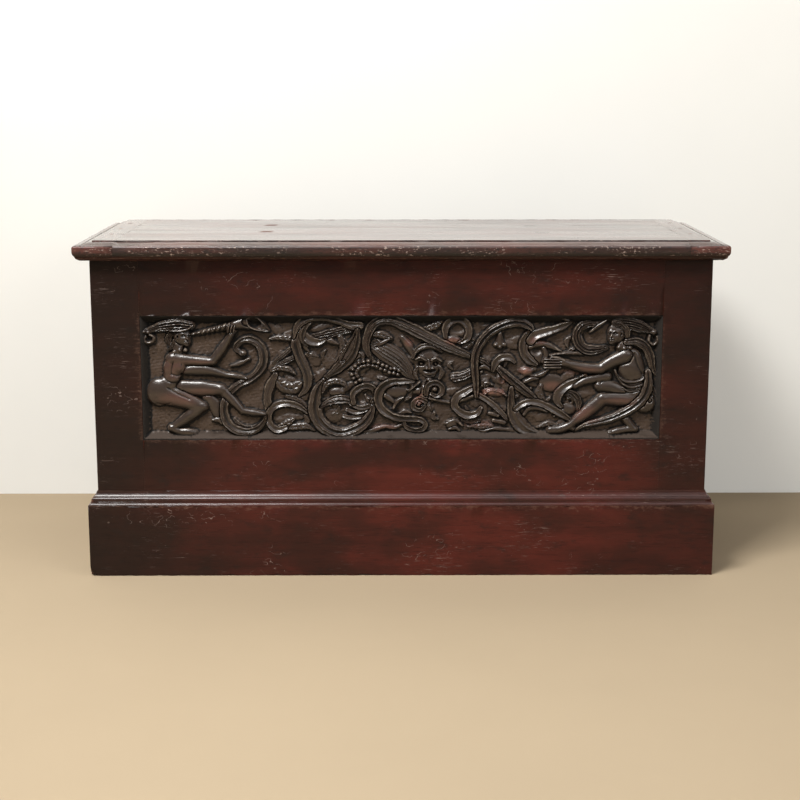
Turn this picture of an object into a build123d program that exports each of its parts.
"""Carved chest with a hinged, moulded lid, built board by board.

The origin is at the bottom centre of the chest's box, with +X along its length,
+Y towards its back and +Z up. Sizes are in millimetres.
"""

import os

from build123d import *

# ---- Carcass ---------------------------------------------------------------
body_width = 1178.0
body_depth = 443.0
body_height = 625.0
foot_gap = 2.0
joint_gap = 0.1
arris_radius = 2.5

# ---- Front frame -----------------------------------------------------------
stile_width = 91.0
frame_thickness = 34.0
top_rail_height = 115.6
opening_height = 241.4
bottom_rail_height = 208.0
tenon_length = 45.0
tenon_thickness = 12.0
tenon_shoulder = 3.0

# ---- Carved panel ----------------------------------------------------------
panel_thickness = 31.0
panel_setback = 1.0
panel_gap = 0.5
rim_width = 1.5
bevel_width = 14.0
ground_depth = 15.0
tongue_length = 8.0
tongue_thickness = 10.0
tongue_inset = 3.0
limb_height = 13.0
scroll_height = 10.5
leaf_height = 7.5

# ---- Sides, back and floor -------------------------------------------------
side_thickness = 22.0
side_front_width = 190.0
back_thickness = 25.0
back_lower_height = 210.0
back_middle_height = 205.0
floor_thickness = 18.0
floor_top = 128.0
floor_gap = 0.5
floor_front_width = 128.0
floor_middle_width = 128.0
bearer_height = 30.0
bearer_thickness = 22.0
block_size = 40.0
block_height = 70.0

# ---- Plinth and its cap moulding -------------------------------------------
plinth_thickness = 17.0
plinth_height = 140.0
cap_foot = 1.5
cap_lower_bead = 6.0
cap_lower_inset = 5.0
cap_quirk = 1.0
cap_cove_rise = 8.5
cap_cove_inset = 3.0
cap_upper_bead = 10.0
cap_top_projection = 1.5
cap_fillet = 1.0
cap_sagitta = 1.4

# ---- Lid -------------------------------------------------------------------
lid_thickness = 27.0
lid_overhang = 27.0
lid_end_width = 75.0
lid_front_width = 190.0
lid_middle_width = 140.0
lid_tongue_length = 42.0
lid_tongue_thickness = 9.0
lid_tongue_stop = 25.0
flat_inset = 33.0
flat_quirk = 2.3
cove_start = 14.0
cove_step = 1.0
cove_sagitta = 1.3
nosing_under_inset = 3.0
nosing_under_rise = 8.0
nosing_under_sagitta = 0.74
nosing_face = 7.0
nosing_top_inset = 5.5
nosing_top_rise = 5.3
nosing_top_sagitta = 1.58
lip_height = 9.0
lip_setback = 3.5
lip_shoulder = 2.0
lip_shoulder_drop = 5.0
lip_chamfer = 8.5
lip_gap = 1.0
peg_radius = 4.5
peg_inset = 26.0
peg_places = (155.0, 266.0, 388.0)

# ---- Hinges ----------------------------------------------------------------
hinge_end_inset = 209.0
leaf_length = 90.0
leaf_width = 22.0
leaf_thickness = 1.8
leaf_recess = 2.0
barrel_radius = 4.5
barrel_gap = 0.5
knuckle_count = 5
knuckle_gap = 0.3
pin_radius = 2.2
pin_fit = 0.05
pin_head_radius = 3.4
pin_head_length = 3.0

# ---- Fastenings ------------------------------------------------------------
screw_count = 4
screw_spacing = 22.0
screw_head_radius = 3.6
screw_radius = 1.8
screw_length = 17.0
screw_point = 3.0
slot_width = 0.8
slot_depth = 0.7
nail_radius = 1.6
nail_head_radius = 4.5
nail_head_height = 1.5
nail_length = 60.0
nail_point = 6.0

# ---- Worked-out places -----------------------------------------------------
half_body = body_width / 2
half_opening = half_body - stile_width
half_lid = half_body + lid_overhang
overall_depth = lid_overhang + body_depth + barrel_gap + 2 * barrel_radius
front = lid_overhang - overall_depth / 2
back = front + body_depth
frame_back = front + frame_thickness
back_front = back - back_thickness
opening_top = body_height - top_rail_height
opening_bottom = opening_top - opening_height
opening_middle = (opening_top + opening_bottom) / 2
rail_bottom = opening_bottom - bottom_rail_height
tenon_inset = tongue_length + joint_gap + tenon_shoulder
tenon_front = front + (frame_thickness - tenon_thickness) / 2

panel_face = front + panel_setback
panel_ground = panel_face + ground_depth
panel_back = panel_face + panel_thickness
tongue_back = panel_back - tongue_inset
tongue_front = tongue_back - tongue_thickness

lid_bottom = body_height
lid_top = lid_bottom + lid_thickness
lid_nose = front - lid_overhang
half_boards = half_lid - lid_end_width
hinge_y = back + barrel_gap + barrel_radius
hinge_offset = half_body - hinge_end_inset
knuckle_length = leaf_length / knuckle_count - knuckle_gap

left_mitre = Plane(origin=(-half_body, front, 0), x_dir=(0, 0, 1), z_dir=(1, -1, 0))


def block(x_range, y_range, z_range, mode=Mode.ADD):
    """Box between two planes along X, two along Y and two along Z."""
    spans = [high - low for low, high in (x_range, y_range, z_range)]
    middle = tuple((low + high) / 2 for low, high in (x_range, y_range, z_range))
    with Locations(middle):
        Box(*spans, mode=mode)


def around(centre, span):
    """The range of the given span about a centre."""
    return (centre - span / 2, centre + span / 2)


def mirrored(piece):
    """The same piece on the other side of the chest."""
    with BuildPart() as other:
        mirror(piece.part, about=Plane.YZ)
    return other


# ---- Front frame -----------------------------------------------------------
top_rail_z = (opening_top, body_height)
bottom_rail_z = (rail_bottom, opening_bottom)
tongue_y = (tongue_front - joint_gap, tongue_back + joint_gap)
tenon_y = (tenon_front, tenon_front + tenon_thickness)


def rail(z_range, groove_z):
    """A rail with a tenon at each end and a groove along the edge at the panel."""
    with BuildPart() as made:
        block((-half_opening, half_opening), (front, frame_back), z_range)
        tenon_z = (z_range[0] + tenon_inset, z_range[1] - tenon_inset)
        block(around(0, 2 * (half_opening + tenon_length)), tenon_y, tenon_z)
        block((-half_opening, half_opening), tongue_y, groove_z, Mode.SUBTRACT)
    return made


groove_reach = tongue_length + joint_gap
front_top_rail = rail(top_rail_z, (opening_top, opening_top + groove_reach))
front_bottom_rail = rail(bottom_rail_z, (opening_bottom - groove_reach, opening_bottom))

with BuildPart() as front_left_stile:
    with BuildSketch(Plane.XY.offset(foot_gap)):
        with Locations((-half_body, front)):
            Rectangle(stile_width, frame_thickness, align=Align.MIN)
    extrude(amount=body_height - foot_gap)
    outer_edges = front_left_stile.edges().filter_by(Axis.Z).group_by(Axis.X)[0]
    fillet(outer_edges.sort_by(Axis.Y)[0], arris_radius)
    mortise_x = (-half_opening - tenon_length - joint_gap, -half_opening)
    mortise_y = (tenon_y[0] - joint_gap, tenon_y[1] + joint_gap)
    for low, high in (top_rail_z, bottom_rail_z):
        mortise_z = (low + tenon_inset - joint_gap, high - tenon_inset + joint_gap)
        block(mortise_x, mortise_y, mortise_z, Mode.SUBTRACT)
    groove_x = (-half_opening - groove_reach, -half_opening)
    groove_z = (opening_bottom - groove_reach, opening_top + groove_reach)
    block(groove_x, tongue_y, groove_z, Mode.SUBTRACT)

front_right_stile = mirrored(front_left_stile)

# ---- Carved panel ----------------------------------------------------------
# The carving's main forms, each as a middle line and a width. Along the panel, the
# left group is placed from the opening's left end and the right group from its right
# end; heights are from the opening's middle.
left_limbs = (
    ((86, 84), (86, 87), 36),
    ((66, 34), (38, -14), 50),
    ((30, -24), (120, -58), 40),
    ((120, -58), (55, -97), 27),
    ((50, -106), (102, -113), 18),
    ((82, 2), (150, -22), 32),
    ((160, -30), (192, -74), 21),
    ((192, -76), (230, -77), 14),
    ((65, 34), (136, 33), 26),
    ((137, 33), (178, 82), 20),
    ((96, 16), (196, 4), 18),
)
right_limbs = (
    ((-86, 87), (-86, 89), 36),
    ((-80, 42), (-58, -20), 52),
    ((-46, -30), (-112, -38), 38),
    ((-110, -38), (-182, -97), 26),
    ((-184, -108), (-222, -103), 18),
    ((-66, -60), (-30, -62), 34),
    ((-108, -26), (-62, -78), 22),
    ((-96, -102), (-44, -110), 18),
    ((-80, 42), (-120, 14), 25),
    ((-120, 14), (-176, 24), 20),
    ((-146, 2), (-196, -30), 18),
    ((-178, 24), (-218, 30), 16),
)
left_scrolls = (
    ((106, 83), (170, 99), (246, 104), 15),
    ((14, 84), (34, 104), (70, 104), 16),
    ((196, 50), (211, 72), (222, 40), 14),
    ((168, -32), (160, -72), (188, -100), 16),
    ((188, -100), (216, -104), (233, -76), 14),
    ((243, -44), (250, -92), (298, -108), 15),
)
middle_scrolls = (
    ((-188, 92), (-163, 117), (-128, 110), 18),
    ((-128, 110), (-104, 96), (-80, 92), 16),
    ((-66, 96), (-40, 112), (0, 100), 22),
    ((0, 100), (70, 78), (132, 42), 22),
    ((-83, 86), (-130, 52), (-147, -4), 20),
    ((-151, -8), (-166, -72), (-124, -108), 18),
    ((-124, -108), (-76, -100), (-54, -66), 16),
    ((-192, 86), (-176, 30), (-176, -22), 14),
    ((18, -6), (-42, -34), (-34, -68), 15),
    ((-34, -68), (-8, -86), (47, -94), 15),
    ((90, 108), (118, 100), (130, 70), 16),
    ((112, -46), (100, -74), (136, -84), 14),
)
right_scrolls = (
    ((-360, -34), (-372, 50), (-336, 86), 17),
    ((-336, 86), (-286, 112), (-243, 86), 17),
    ((-243, 86), (-262, 54), (-236, 24), 15),
    ((-250, 78), (-214, 88), (-172, 106), 15),
    ((-160, 92), (-152, 56), (-104, 56), 14),
    ((-150, 103), (-126, 112), (-104, 108), 12),
    ((-312, 10), (-274, -12), (-243, -40), 14),
    ((-352, -34), (-322, -58), (-294, -84), 14),
    ((-288, -30), (-278, -88), (-206, -114), 16),
    ((-206, -114), (-184, -96), (-172, -80), 14),
    ((-24, 5), (-40, -50), (-70, -66), 18),
    ((-70, -66), (-100, -92), (-134, -94), 18),
    ((-52, 68), (-30, 40), (-14, 86), 12),
)
left_leaves = (
    ((250, 72), (280, 40), (300, 4), 26),
    ((236, 20), (262, -16), (296, -20), 24),
)
middle_leaves = (
    ((-110, 50), (-96, 10), (-60, -30), 40),
    ((-87, -8), (-58, 26), (20, -2), 20),
    ((38, 24), (52, 28), (68, 24), 34),
    ((26, -14), (58, -26), (80, -66), 32),
    ((60, 64), (76, 16), (104, -20), 22),
)
right_leaves = (
    ((-310, 58), (-306, 74), (-312, 92), 24),
    ((-277, -58), (-220, -34), (-172, -78), 24),
    ((-200, 84), (-206, 58), (-220, 40), 22),
    ((-176, -34), (-160, -60), (-150, -92), 22),
)


def placed(point, shift):
    """A point of the carving, moved to its group's place on the ground."""
    return (point[0] + shift, point[1] + opening_middle)


def bands(lines, shift):
    """Curved round-ended bands, each along an arc through three points."""
    for start, middle, end, width in lines:
        points = [placed(point, shift) for point in (start, middle, end)]
        with BuildLine(Plane.XY) as outline:
            ThreePointArc(*points)
            offset(amount=width / 2)
        make_face(outline.edges())


def limbs(lines, shift):
    """Straight round-ended limbs, heads and bodies."""
    for start, end, width in lines:
        near = Vector(*placed(start, shift))
        far = Vector(*placed(end, shift))
        along = far - near
        angle = Vector(1, 0).get_signed_angle(along)
        with Locations((near + far) / 2):
            SlotCenterToCenter(along.length, width, rotation=angle)


half_panel = half_opening - panel_gap
panel_height = opening_height - 2 * panel_gap
rim = panel_gap + rim_width
field_size = (2 * (half_opening - rim), opening_height - 2 * rim)
ground_size = (field_size[0] - 2 * bevel_width, field_size[1] - 2 * bevel_width)
ground_plane = Plane.XZ.offset(-panel_ground)

with BuildPart() as relief:
    with BuildSketch(ground_plane):
        bands(left_leaves, -half_opening)
        bands(middle_leaves, 0)
        bands(right_leaves, half_opening)
    extrude(amount=leaf_height)
    with BuildSketch(ground_plane):
        bands(left_scrolls, -half_opening)
        bands(middle_scrolls, 0)
        bands(right_scrolls, half_opening)
    extrude(amount=scroll_height)
    with BuildSketch(ground_plane):
        limbs(left_limbs, -half_opening)
        limbs(right_limbs, half_opening)
    extrude(amount=limb_height)
    block(
        around(0, field_size[0]),
        (panel_face, panel_ground),
        around(opening_middle, field_size[1]),
        Mode.INTERSECT,
    )

with BuildPart() as carved_panel:
    block(
        (-half_panel, half_panel),
        (panel_face, panel_back),
        around(opening_middle, panel_height),
    )
    block(
        around(0, 2 * (half_opening + tongue_length)),
        (tongue_front, tongue_back),
        around(opening_middle, opening_height + 2 * tongue_length),
    )
    with BuildSketch(ground_plane):
        with Locations((0, opening_middle)):
            Rectangle(*ground_size)
    with BuildSketch(ground_plane.offset(ground_depth)):
        with Locations((0, opening_middle)):
            Rectangle(*field_size)
    loft(mode=Mode.SUBTRACT)
    add(relief.part)

# ---- Sides -----------------------------------------------------------------
side_x = (-half_body, -half_body + side_thickness)
side_split = frame_back + side_front_width
carcass_z = (foot_gap, body_height)

with BuildPart() as left_side_front_board:
    block(side_x, (frame_back, side_split), carcass_z)

# ---- Back ------------------------------------------------------------------
back_splits = (
    foot_gap,
    foot_gap + back_lower_height,
    foot_gap + back_lower_height + back_middle_height,
    body_height,
)
nail_x = half_body - side_thickness / 2


def nail_heights(low, high):
    """Heights of the two nails at each end of a back board."""
    quarter = (high - low) / 4
    return (low + quarter, high - quarter)


def nail_points(low, high, sides=(-1, 1)):
    """Nails of one back board, at the back's face and pointing into the chest."""
    return [
        Location((side * nail_x, back, height), (-90, 0, 0))
        for side in sides
        for height in nail_heights(low, high)
    ]


nail_hole_radius = nail_radius + joint_gap / 2


def back_board(low, high):
    """One plank of the back, bored for its nails."""
    with BuildPart() as made:
        block((-half_body, half_body), (back_front, back), (low, high))
        with Locations(*nail_points(low, high)):
            Hole(nail_hole_radius, back_thickness)
    return made


back_lower_board = back_board(*back_splits[0:2])
back_middle_board = back_board(*back_splits[1:3])
back_upper_board = back_board(*back_splits[2:4])
board_ranges = list(zip(back_splits[:-1], back_splits[1:]))

with BuildPart() as left_side_back_board:
    block(side_x, (side_split, back_front), carcass_z)
    for low, high in board_ranges:
        with Locations(*nail_points(low, high, sides=(-1,))):
            Hole(nail_hole_radius, nail_length + joint_gap)

right_side_front_board = mirrored(left_side_front_board)
right_side_back_board = mirrored(left_side_back_board)

with BuildPart() as nail:
    with BuildSketch(Plane.XZ):
        Polygon(
            (0, -nail_length),
            (nail_radius, -nail_length + nail_point),
            (nail_radius, 0),
            (nail_head_radius, 0),
            (nail_head_radius / 2, nail_head_height),
            (0, nail_head_height),
            align=None,
        )
    revolve(axis=Axis.Z)

with BuildPart() as back_nails:
    for low, high in board_ranges:
        with Locations(*nail_points(low, high)):
            add(nail.part)

# ---- Floor -----------------------------------------------------------------
inner_x = half_body - side_thickness
floor_y = (frame_back + floor_gap, back_front - floor_gap)
floor_splits = (
    floor_y[0],
    floor_y[0] + floor_front_width,
    floor_y[0] + floor_front_width + floor_middle_width,
    floor_y[1],
)
floor_bottom = floor_top - floor_thickness
bearer_z = (floor_bottom - bearer_height, floor_bottom)


def floor_board(low, high):
    """One plank of the chest's floor."""
    with BuildPart() as made:
        block(around(0, 2 * (inner_x - floor_gap)), (low, high), (floor_bottom, floor_top))
    return made


floor_board_front = floor_board(*floor_splits[0:2])
floor_board_middle = floor_board(*floor_splits[1:3])
floor_board_back = floor_board(*floor_splits[2:4])

front_bearer_y = (frame_back, frame_back + bearer_thickness)
back_bearer_y = (back_front - bearer_thickness, back_front)

with BuildPart() as floor_bearer_front:
    block((-inner_x, inner_x), front_bearer_y, bearer_z)

with BuildPart() as floor_bearer_back:
    block((-inner_x, inner_x), back_bearer_y, bearer_z)

with BuildPart() as floor_bearer_left:
    block(
        (-inner_x, -inner_x + bearer_thickness),
        (front_bearer_y[1], back_bearer_y[0]),
        bearer_z,
    )

floor_bearer_right = mirrored(floor_bearer_left)

block_top = bearer_z[0]

with BuildPart() as corner_blocks:
    for side in (-1, 1):
        for y_range in (
            (frame_back, frame_back + block_size),
            (back_front - block_size, back_front),
        ):
            x_range = around(side * (inner_x - block_size / 2), block_size)
            block(x_range, y_range, (block_top - block_height, block_top))

# ---- Plinth ----------------------------------------------------------------


def plinth_section(face, outward):
    """Plain plinth board: face is the carcass's face, outward the way out of it."""
    Polyline(
        (face, 0),
        (face + outward * plinth_thickness, 0),
        (face + outward * plinth_thickness, plinth_height),
        (face, plinth_height),
        close=True,
    )


def cap_section(face, outward):
    """Moulding on the plinth: a bead, a cove and a bead that dies at the carcass."""

    def at(out, rise):
        return (face + outward * out, plinth_height + rise)

    bead_start = at(plinth_thickness, cap_foot)
    bead_out = plinth_thickness - cap_lower_inset
    bead_top = cap_foot + cap_lower_bead
    cove_out = bead_out - cap_quirk - cap_cove_inset
    cove_top = bead_top + cap_cove_rise
    upper_out = cove_out - cap_quirk
    upper_top = cove_top + cap_upper_bead
    Polyline(at(0, 0), at(plinth_thickness, 0), bead_start)
    SagittaArc(bead_start, at(bead_out, bead_top), outward * cap_sagitta)
    Line(at(bead_out, bead_top), at(bead_out - cap_quirk, bead_top))
    SagittaArc(
        at(bead_out - cap_quirk, bead_top), at(cove_out, cove_top), -outward * cap_sagitta
    )
    Line(at(cove_out, cove_top), at(upper_out, cove_top))
    SagittaArc(
        at(upper_out, cove_top), at(cap_top_projection, upper_top), outward * cap_sagitta
    )
    Polyline(
        at(cap_top_projection, upper_top),
        at(cap_top_projection, upper_top + cap_fillet),
        at(0, upper_top + cap_fillet),
        at(0, 0),
    )


def lip_section(face, outward):
    """Moulding under the lid's overhang, chamfered at its foot."""

    def at(out, drop):
        return (face + outward * out, lid_bottom - drop)

    outer = lid_overhang - lip_setback
    Polyline(
        at(lip_gap, 0),
        at(outer, 0),
        at(outer - lip_shoulder, lip_shoulder_drop),
        at(outer - lip_chamfer, lip_height),
        at(lip_gap, lip_height),
        close=True,
    )


def front_run(section, reach):
    """A length along the front, mitred at both front corners."""
    with BuildPart() as made:
        with BuildSketch(Plane.YZ):
            with BuildLine():
                section(front, -1)
            make_face()
        extrude(amount=half_body + reach, both=True)
        split(bisect_by=left_mitre, keep=Keep.TOP)
        right_mitre = Plane(
            origin=(half_body, front, 0), x_dir=(0, 0, 1), z_dir=(-1, -1, 0)
        )
        split(bisect_by=right_mitre, keep=Keep.TOP)
    return made


def left_run(section, reach):
    """A length along the left side, mitred at the front corner."""
    with BuildPart() as made:
        with BuildSketch(Plane.XZ.offset(-back)):
            with BuildLine():
                section(-half_body, -1)
            make_face()
        extrude(amount=body_depth + reach)
        split(bisect_by=left_mitre, keep=Keep.BOTTOM)
    return made


plinth_front = front_run(plinth_section, plinth_thickness)
plinth_left = left_run(plinth_section, plinth_thickness)
plinth_right = mirrored(plinth_left)

cap_moulding_front = front_run(cap_section, plinth_thickness)
cap_moulding_left = left_run(cap_section, plinth_thickness)
cap_moulding_right = mirrored(cap_moulding_left)

# ---- Lid -------------------------------------------------------------------
lid_lip_front = front_run(lip_section, lid_overhang)
lid_lip_left = left_run(lip_section, lid_overhang)
lid_lip_right = mirrored(lid_lip_left)


def lid_edge(nose, inward):
    """Moulded edge of the lid, from its underside round the nosing up to its top."""

    def at(inset, rise):
        return (nose + inward * inset, lid_bottom + rise)

    face_top = nosing_under_rise + nosing_face
    nosing_top = face_top + nosing_top_rise
    flat_rise = lid_thickness - flat_quirk
    under_bulge = inward * nosing_under_sagitta
    top_bulge = inward * nosing_top_sagitta
    SagittaArc(at(nosing_under_inset, 0), at(0, nosing_under_rise), under_bulge)
    Line(at(0, nosing_under_rise), at(0, face_top))
    SagittaArc(at(0, face_top), at(nosing_top_inset, nosing_top), top_bulge)
    Polyline(
        at(nosing_top_inset, nosing_top),
        at(cove_start, nosing_top),
        at(cove_start, nosing_top - cove_step),
    )
    SagittaArc(
        at(cove_start, nosing_top - cove_step),
        at(flat_inset, flat_rise),
        inward * cove_sagitta,
    )
    Line(at(flat_inset, flat_rise), at(flat_inset, lid_thickness))


with BuildPart() as lid_slab:
    with BuildSketch(Plane.YZ):
        with BuildLine():
            lid_edge(lid_nose, 1)
            Polyline(
                (lid_nose + flat_inset, lid_top),
                (back, lid_top),
                (back, lid_bottom),
                (lid_nose + nosing_under_inset, lid_bottom),
            )
        make_face()
    extrude(amount=half_lid, both=True)
    with BuildSketch(Plane.XZ.offset(-back)):
        with BuildLine():
            lid_edge(-half_lid, 1)
            Line((-half_lid + flat_inset, lid_top), (half_lid - flat_inset, lid_top))
            lid_edge(half_lid, -1)
            Line(
                (half_lid - nosing_under_inset, lid_bottom),
                (-half_lid + nosing_under_inset, lid_bottom),
            )
        make_face()
    extrude(amount=body_depth + lid_overhang, mode=Mode.INTERSECT)

lid_z = (lid_bottom, lid_top)
lid_splits = (
    lid_nose,
    lid_nose + lid_front_width,
    lid_nose + lid_front_width + lid_middle_width,
    back,
)
tongue_z = around((lid_bottom + lid_top) / 2, lid_tongue_thickness)
tongue_span = (lid_nose + lid_tongue_stop, back - lid_tongue_stop)
peg_points = [
    (side * (half_boards + peg_inset), lid_nose + place, lid_bottom)
    for side in (-1, 1)
    for place in peg_places
]
upright = (Align.CENTER, Align.CENTER, Align.MIN)


def peg_holes():
    """Bores for the pegs that hold the lid's ends to its boards."""
    with Locations(*peg_points):
        Cylinder(
            peg_radius + joint_gap / 2, lid_thickness, align=upright, mode=Mode.SUBTRACT
        )


def lid_board(low, high):
    """One long board of the lid, with a tongue at each end."""
    with BuildPart() as made:
        add(lid_slab.part)
        block(around(0, 2 * half_boards), (low, high), lid_z, Mode.INTERSECT)
        tongue_range = (max(low, tongue_span[0]), min(high, tongue_span[1]))
        block(around(0, 2 * (half_boards + lid_tongue_length)), tongue_range, tongue_z)
        peg_holes()
    return made


# ---- Hinges ----------------------------------------------------------------
leaf_y = (back - leaf_width, back)
screw_y = back - leaf_width / 2


def hinge_points(height, turn):
    """Screws of both hinges, at a leaf's face and turned to point into the wood."""
    first = -screw_spacing * (screw_count - 1) / 2
    return [
        Location((side * hinge_offset + first + step * screw_spacing, screw_y, height), turn)
        for side in (-1, 1)
        for step in range(screw_count)
    ]


down = (0, 0, 0)
up = (180, 0, 0)
body_leaf_z = (body_height - leaf_recess, body_height - leaf_recess + leaf_thickness)
lid_leaf_z = (lid_bottom + leaf_recess - leaf_thickness, lid_bottom + leaf_recess)
body_screws_at = hinge_points(body_leaf_z[1], down)
lid_screws_at = hinge_points(lid_leaf_z[0], up)
screw_bore = screw_radius + joint_gap / 2

with BuildPart() as upper_board_fitted:
    add(back_upper_board.part)
    for side in (-1, 1):
        leaf_x = around(side * hinge_offset, leaf_length)
        block(leaf_x, leaf_y, (body_leaf_z[0], body_height), Mode.SUBTRACT)
    with Locations(*body_screws_at):
        Hole(screw_bore, screw_length + joint_gap)

back_upper_board = upper_board_fitted

lid_front_board = lid_board(*lid_splits[0:2])
lid_middle_board = lid_board(*lid_splits[1:3])

with BuildPart() as lid_back_board:
    add(lid_board(*lid_splits[2:4]).part)
    for side in (-1, 1):
        leaf_x = around(side * hinge_offset, leaf_length)
        block(leaf_x, leaf_y, (lid_bottom, lid_leaf_z[1]), Mode.SUBTRACT)
    with Locations(*lid_screws_at):
        Hole(screw_bore, screw_length + joint_gap)

with BuildPart() as lid_left_end:
    add(lid_slab.part)
    block((-half_lid, -half_boards), (lid_nose, back), lid_z, Mode.INTERSECT)
    groove_x = (-half_boards - lid_tongue_length - joint_gap, -half_boards)
    groove_y = (tongue_span[0] - joint_gap, tongue_span[1] + joint_gap)
    groove_z = (tongue_z[0] - joint_gap, tongue_z[1] + joint_gap)
    block(groove_x, groove_y, groove_z, Mode.SUBTRACT)
    peg_holes()

lid_right_end = mirrored(lid_left_end)

with BuildPart() as lid_end_pegs:
    with Locations(*peg_points):
        Cylinder(peg_radius, lid_thickness, align=upright)


def leaf(z_range, knuckles, screw_turn, screw_height):
    """A hinge leaf of the left hinge with its own knuckles of the barrel."""
    centre = -hinge_offset
    with BuildPart() as made:
        block(around(centre, leaf_length), leaf_y, z_range)
        for index in knuckles:
            middle = centre + (index + 0.5) * leaf_length / knuckle_count - leaf_length / 2
            block(around(middle, knuckle_length), (back - leaf_thickness, hinge_y), z_range)
            with BuildSketch(Plane.YZ.offset(middle - knuckle_length / 2)):
                with Locations((hinge_y, body_height)):
                    Circle(barrel_radius)
            extrude(amount=knuckle_length)
        with Locations(Location((centre, hinge_y, body_height), (0, 90, 0))):
            Cylinder(pin_radius + pin_fit, leaf_length, mode=Mode.SUBTRACT)
        left_screws = hinge_points(screw_height, screw_turn)[:screw_count]
        with Locations(*left_screws):
            CounterSinkHole(
                screw_bore, screw_head_radius + joint_gap / 2, counter_sink_angle=90
            )
    return made


body_knuckles = range(0, knuckle_count, 2)
lid_knuckles = range(1, knuckle_count, 2)
left_hinge_body_leaf = leaf(body_leaf_z, body_knuckles, down, body_leaf_z[1])
left_hinge_lid_leaf = leaf(lid_leaf_z, lid_knuckles, up, lid_leaf_z[0])

with BuildPart() as left_hinge_pin:
    outer_end = leaf_length / 2 - knuckle_gap / 2
    with BuildSketch(Plane.YZ.offset(-hinge_offset)):
        with Locations((hinge_y, body_height)):
            Circle(pin_radius)
    extrude(amount=outer_end, both=True)
    for way in (-1, 1):
        with BuildSketch(Plane.YZ.offset(-hinge_offset + way * outer_end)):
            with Locations((hinge_y, body_height)):
                Circle(pin_head_radius)
        extrude(amount=way * pin_head_length)

right_hinge_body_leaf = mirrored(left_hinge_body_leaf)
right_hinge_lid_leaf = mirrored(left_hinge_lid_leaf)
right_hinge_pin = mirrored(left_hinge_pin)

with BuildPart() as screw:
    cone = screw_head_radius - screw_radius
    with BuildSketch(Plane.XZ):
        Polygon(
            (0, 0),
            (screw_head_radius, 0),
            (screw_radius, -cone),
            (screw_radius, -screw_length + screw_point),
            (0, -screw_length),
            align=None,
        )
    revolve(axis=Axis.Z)
    block(
        around(0, 2 * screw_head_radius),
        around(0, slot_width),
        (-slot_depth, 0),
        Mode.SUBTRACT,
    )

with BuildPart() as hinge_body_screws:
    with Locations(*body_screws_at):
        add(screw.part)

with BuildPart() as hinge_lid_screws:
    with Locations(*lid_screws_at):
        add(screw.part)

# ---- Files -----------------------------------------------------------------
pieces = {
    "front_top_rail": front_top_rail,
    "front_bottom_rail": front_bottom_rail,
    "front_left_stile": front_left_stile,
    "front_right_stile": front_right_stile,
    "carved_panel": carved_panel,
    "left_side_front_board": left_side_front_board,
    "left_side_back_board": left_side_back_board,
    "right_side_front_board": right_side_front_board,
    "right_side_back_board": right_side_back_board,
    "back_lower_board": back_lower_board,
    "back_middle_board": back_middle_board,
    "back_upper_board": back_upper_board,
    "back_nails": back_nails,
    "floor_board_front": floor_board_front,
    "floor_board_middle": floor_board_middle,
    "floor_board_back": floor_board_back,
    "floor_bearer_front": floor_bearer_front,
    "floor_bearer_back": floor_bearer_back,
    "floor_bearer_left": floor_bearer_left,
    "floor_bearer_right": floor_bearer_right,
    "corner_blocks": corner_blocks,
    "plinth_front": plinth_front,
    "plinth_left": plinth_left,
    "plinth_right": plinth_right,
    "cap_moulding_front": cap_moulding_front,
    "cap_moulding_left": cap_moulding_left,
    "cap_moulding_right": cap_moulding_right,
    "lid_front_board": lid_front_board,
    "lid_middle_board": lid_middle_board,
    "lid_back_board": lid_back_board,
    "lid_left_end": lid_left_end,
    "lid_right_end": lid_right_end,
    "lid_end_pegs": lid_end_pegs,
    "lid_lip_front": lid_lip_front,
    "lid_lip_left": lid_lip_left,
    "lid_lip_right": lid_lip_right,
    "left_hinge_body_leaf": left_hinge_body_leaf,
    "left_hinge_lid_leaf": left_hinge_lid_leaf,
    "left_hinge_pin": left_hinge_pin,
    "right_hinge_body_leaf": right_hinge_body_leaf,
    "right_hinge_lid_leaf": right_hinge_lid_leaf,
    "right_hinge_pin": right_hinge_pin,
    "hinge_body_screws": hinge_body_screws,
    "hinge_lid_screws": hinge_lid_screws,
}

os.makedirs("parts", exist_ok=True)
for name, piece in pieces.items():
    piece.part.label = name
    export_step(piece.part, f"parts/{name}.step")
    size = piece.part.bounding_box().size
    print(f"{name}: {size.X:.1f} x {size.Y:.1f} x {size.Z:.1f}")
